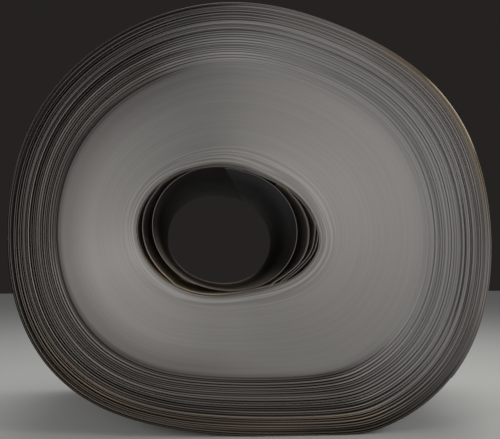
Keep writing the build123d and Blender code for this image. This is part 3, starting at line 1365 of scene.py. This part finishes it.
@dataclass(frozen=True)
class RolledFace:
    """Rolled face of the strip: dark steel with streaks along the strip.

    Attributes:
        name: Name of the material.
        colour: Middle colour.
        worn: Colour of the lighter streaks.
        cut_end: Colour of the bluish stretch next to the strip's cut end, lighter as painted light.
        cut_end_laps: Laps where that colour is full and where it has faded out.
        lit_bottom: Lighter colour toward the bottom, as painted light that falls in there.
        lit_bottom_stretch: Where that painted light lies.
        streaks, clouds: How much of the wear follows the streaks and the clouds.
        wear: Wear at which the lighter streaks start to show and show in full.
        metallic: Metal share.
        roughness: Middle roughness.
        rough_swing: How far the clouds swing the roughness down and up.
        shine: Specular level.
        scratches: Strength of the bumps that the streaks make.
        scratch_height: Height of those bumps.
    """

    name: str = "rolled_face"
    colour: Colour = (0.145, 0.138, 0.132)
    worn: Colour = (0.215, 0.203, 0.190)
    cut_end: Colour | None = None
    cut_end_laps: Span = (-1.32, -1.05)
    lit_bottom: Colour | None = None
    lit_bottom_stretch: Stretch = Stretch(-108.0, 20.0, 80.0)
    streaks: float = 0.6
    clouds: float = 0.5
    wear: Span = (0.35, 0.8)
    metallic: float = 0.8
    roughness: float = 0.42
    rough_swing: Span = (-0.1, 0.12)
    shine: float = 0.5
    scratches: float = 0.12
    scratch_height: float = 0.3 * MILLIMETRE

    def make(self, groups: Groups) -> bpy.types.Material:
        """Make the material.

        Args:
            groups: The shared groups by name.

        Returns:
            The material.
        """
        made = LapMaterial(self.name, groups)
        n, shader = made.n, made.shader
        streak, cloud = made.placed("grain")
        wear = n.line(streak, self.streaks, n.times(cloud, self.clouds))
        base = n.tint(n.ramp(wear, *self.wear), self.colour, self.worn)
        if self.cut_end:
            base = n.tint(n.rest(n.ramp(made.lap, *self.cut_end_laps)), base, self.cut_end)
        # Painted light on the bottom of the eye and of the gaps
        if self.lit_bottom:
            base = n.tint(self.lit_bottom_stretch.mask(made), base, self.lit_bottom)
        n.feed(shader.inputs["Base Color"], base)
        rough = n.mix(cloud, *(self.roughness + swing for swing in self.rough_swing))
        n.feed(shader.inputs["Roughness"], rough)
        shader.inputs["Metallic"].default_value = self.metallic
        shader.inputs["Specular IOR Level"].default_value = self.shine
        bumps = {"Strength": self.scratches, "Distance": self.scratch_height, "Height": streak}
        n.feed(shader.inputs["Normal"], n.add("ShaderNodeBump", bumps).outputs[0])
        return made.material


@dataclass
class Finishes:
    """The strip's finishes, made once and put on every piece.

    Attributes:
        slit_edge: Both ends of the coil.
        rolled_face: The coil's skin.
        bore_face: The wall of the eye, painted dark as shade.
        gap_face: The faces inside the gaps between the loose laps.
        materials: The materials, in the order of the surfaces.
    """

    slit_edge: SlitEdge = SlitEdge()
    rolled_face: RolledFace = RolledFace()
    # Painted shade: the eye's wall, steel like the skin, gets a far darker colour, and the stretch
    # at the cut end a lighter one as painted light
    bore_face: RolledFace = RolledFace(
        "bore_face", (0.013, 0.0115, 0.0105), (0.030, 0.026, 0.022),
        # Painted light on the bottom of the eye
        cut_end=(0.060, 0.062, 0.069), lit_bottom=(0.215, 0.170, 0.138),
        metallic=0.0, roughness=0.7, shine=0.05)
    # Painted light on the bottom of the gaps between the loose laps
    gap_face: RolledFace = RolledFace(
        "gap_face", (0.18, 0.155, 0.135), (0.26, 0.225, 0.195), lit_bottom=(0.74, 0.64, 0.52),
        lit_bottom_stretch=Stretch(-105.0, 32.0, 78.0), metallic=0.0, roughness=0.6, shine=0.3)
    materials: list[bpy.types.Material] = field(default_factory=list)

    def make(self) -> None:
        """Make the groups and the materials, in the order of the surfaces."""
        groups = {"place": make_lap_place(), "streaks": make_lap_streaks(),
                  "sector": make_sector(), "grain": make_strip_grain()}
        finishes = (self.slit_edge, self.rolled_face, self.bore_face, self.gap_face)
        self.materials = [finish.make(groups) for finish in finishes]

    def dress(self, piece: bpy.types.Object) -> None:
        """Give a piece its material slots."""
        for material in self.materials:
            piece.data.materials.append(material)


# The coil and its studio


@dataclass
class SteelCoil:
    """The whole coil: loose laps at the eye, flush laps, and laps that wandered sideways.

    Attributes:
        shape: Shape of the sagged coil.
        wander: How far each lap stands out.
        loose: The loose laps.
        bands: The bands of tight laps, from the eye outward.
    """

    shape: CoilShape = CoilShape()
    wander: SidewaysWander = SidewaysWander()
    loose: LooseLaps = LooseLaps()
    bands: tuple[LapBand, ...] = (
        LapBand("flush_laps", (
            FIRST_TIGHT_LAP, FIRST_TIGHT_LAP + 1,
            *range(2 * LAPS_PER_FLUSH_ROW, FIRST_WANDERED_LAP, LAPS_PER_FLUSH_ROW),
            FIRST_WANDERED_LAP, FIRST_WANDERED_LAP + 1), stepped=False),
        LapBand("wandered_laps", tuple(range(FIRST_WANDERED_LAP, FIRST_OUTER_LAP + 2)),
                stepped=True),
        LapBand("outer_laps", tuple(range(FIRST_OUTER_LAP, TIGHT_LAPS + 1)), stepped=True),
    )

    def build(self, finishes: Finishes) -> list[bpy.types.Object]:
        """Build, dress and register every piece.

        Args:
            finishes: The strip's finishes.

        Returns:
            The pieces.
        """
        pieces = [self.loose.build(self.shape)]
        pieces += [band.build(self.shape, self.wander) for band in self.bands]
        for piece in pieces:
            finishes.dress(piece)
            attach(piece, "root")
        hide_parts("coil")
        return pieces


@dataclass(frozen=True)
class Lamp:
    """A square soft lamp that faces a target.

    Attributes:
        name: Its name.
        place: Where it stands.
        target: What it faces.
        size: Its side.
        power: Its power in watts.
    """

    name: str
    place: Point
    target: Point
    size: float
    power: float

    def build(self) -> None:
        """Add the lamp to the scene."""
        light = bpy.data.lights.new(self.name, "AREA")
        light.size = self.size
        light.energy = self.power
        lamp = bpy.data.objects.new(self.name, light)
        lamp.location = self.place
        facing = Vector(self.target) - Vector(self.place)
        lamp.rotation_euler = facing.to_track_quat("-Z", "Y").to_euler()
        bpy.context.scene.collection.objects.link(lamp)


@dataclass(frozen=True)
class Studio:
    """Pale floor, plain backdrop, soft lamps and the camera.

    Attributes:
        floor_size: Side of the square floor.
        floor_colour, floor_roughness: Its colour and roughness.
        backdrop: Colour of the backdrop.
        ambient: Strength of the even light all round.
        camera_place: Where the camera stands.
        camera_right, camera_up: Its own axes.
        lens: Focal length in millimetres, for a frame as wide as the sensor.
        sensor: Width of the sensor in millimetres.
        lamps: The lamps.
    """

    floor_size: float = 30.0
    floor_colour: Colour = (0.52, 0.52, 0.50)
    floor_roughness: float = 0.7
    backdrop: Colour = (0.0185, 0.0165, 0.0150)
    ambient: float = 0.20
    camera_place: Point = (-0.187, -3.5524, 0.654)
    camera_right: Point = (0.99828, -0.05855, -0.00353)
    camera_up: Point = (0.0, -0.06025, 0.99818)
    lens: float = 54.77
    sensor: float = 36.0
    lamps: tuple[Lamp, ...] = (
        Lamp("left_front_lamp", (-4.2, -4.2, 1.8), (0.0, -0.6, 0.8), 2.6, 120.0),
        Lamp("right_front_lamp", (4.4, -3.6, 2.6), (0.0, -0.6, 0.8), 2.6, 132.0),
        Lamp("front_lamp", (-0.3, -6.5, 1.0), (0.0, -0.6, 0.8), 2.4, 110.0),
        Lamp("top_lamp", (0.5, 1.2, 5.0), (0.0, 0.3, 0.8), 4.0, 150.0),
    )

    def add_floor(self) -> None:
        """Add a wide level floor at z = 0."""
        half = self.floor_size / 2
        corners = [(-half, -half, 0), (half, -half, 0), (half, half, 0), (-half, half, 0)]
        mesh = bpy.data.meshes.new("floor")
        mesh.from_pydata(corners, [], [(0, 1, 2, 3)])
        floor = bpy.data.objects.new("floor", mesh)
        material = bpy.data.materials.new("pale_floor")
        material.use_nodes = True
        shader = material.node_tree.nodes["Principled BSDF"]
        shader.inputs["Base Color"].default_value = (*self.floor_colour, 1.0)
        shader.inputs["Roughness"].default_value = self.floor_roughness
        mesh.materials.append(material)
        bpy.context.scene.collection.objects.link(floor)

    def add_world(self) -> None:
        """Add even soft light, and the backdrop's colour where camera or metal sees it."""
        world = bpy.data.worlds.new("studio")
        world.use_nodes = True
        bpy.context.scene.world = world
        world.node_tree.nodes.clear()
        n = Nodes(world.node_tree)
        white = (1.0, 1.0, 1.0)
        light = n.add("ShaderNodeBackground", {"Color": white, "Strength": self.ambient})
        seen = n.add("ShaderNodeBackground", {"Color": self.backdrop})
        rays = n.add("ShaderNodeLightPath").outputs
        mirrored = n.math("MAXIMUM", rays["Is Glossy Ray"], rays["Is Transmission Ray"])
        share = n.math("MAXIMUM", rays["Is Camera Ray"], mirrored)
        mixed = n.add("ShaderNodeMixShader", {0: share, 1: light.outputs[0], 2: seen.outputs[0]})
        n.add("ShaderNodeOutputWorld", {0: mixed.outputs[0]})

    def add_camera(self) -> None:
        """Add the camera, at its place and on its own axes."""
        data = bpy.data.cameras.new("camera")
        data.sensor_width = self.sensor
        data.sensor_fit = "HORIZONTAL"
        data.lens = self.lens
        right, up = Vector(self.camera_right), Vector(self.camera_up)
        turn = Matrix((right, up, right.cross(up))).transposed().to_4x4()
        camera = bpy.data.objects.new("camera", data)
        camera.matrix_world = Matrix.Translation(self.camera_place) @ turn
        bpy.context.scene.collection.objects.link(camera)
        bpy.context.scene.camera = camera

    def build(self) -> None:
        """Set up the whole studio."""
        self.add_camera()
        self.add_floor()
        self.add_world()
        for lamp in self.lamps:
            lamp.build()
        bpy.context.scene.view_settings.view_transform = "Standard"


def main() -> None:
    """Build the studio and the coil."""
    logging.basicConfig(level=logging.INFO)
    Studio().build()
    finishes = Finishes()
    finishes.make()
    for piece in SteelCoil().build(finishes):
        mesh = piece.data
        log.info("%s: %d faces, %d vertices", piece.name, len(mesh.polygons), len(mesh.vertices))


if __name__ == "__main__":
    main()
